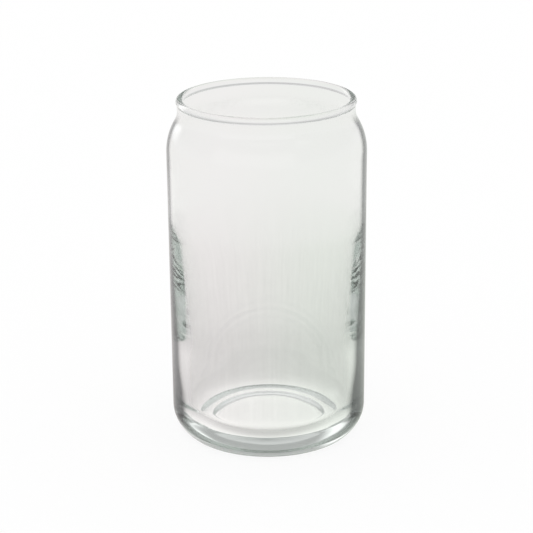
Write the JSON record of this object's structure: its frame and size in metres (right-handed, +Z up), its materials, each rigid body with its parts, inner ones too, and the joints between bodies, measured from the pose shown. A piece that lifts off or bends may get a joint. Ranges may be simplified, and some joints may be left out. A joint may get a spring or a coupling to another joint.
{
  "type": "juice glass",
  "caption": "Can-shaped drinking glass in clear glass, with a straight body, a curved shoulder, a rolled rim and a thick rounded base. It holds a cold drink and stands by itself.",
  "frame": {"origin": "centre of the ring that the glass stands on, at table height", "axes": "+Z up along the glass's own axis, out of its mouth; the glass is round about Z, so X and Y are free"},
  "size_m": [0.076, 0.076, 0.1333],
  "materials": {
    "clear_glass": "clear, polished, colourless glass with a faint grey-green edge tint"
  },
  "bodies": {
    "root": {"juice_glass": "clear_glass"}
  },
  "joints": []
}
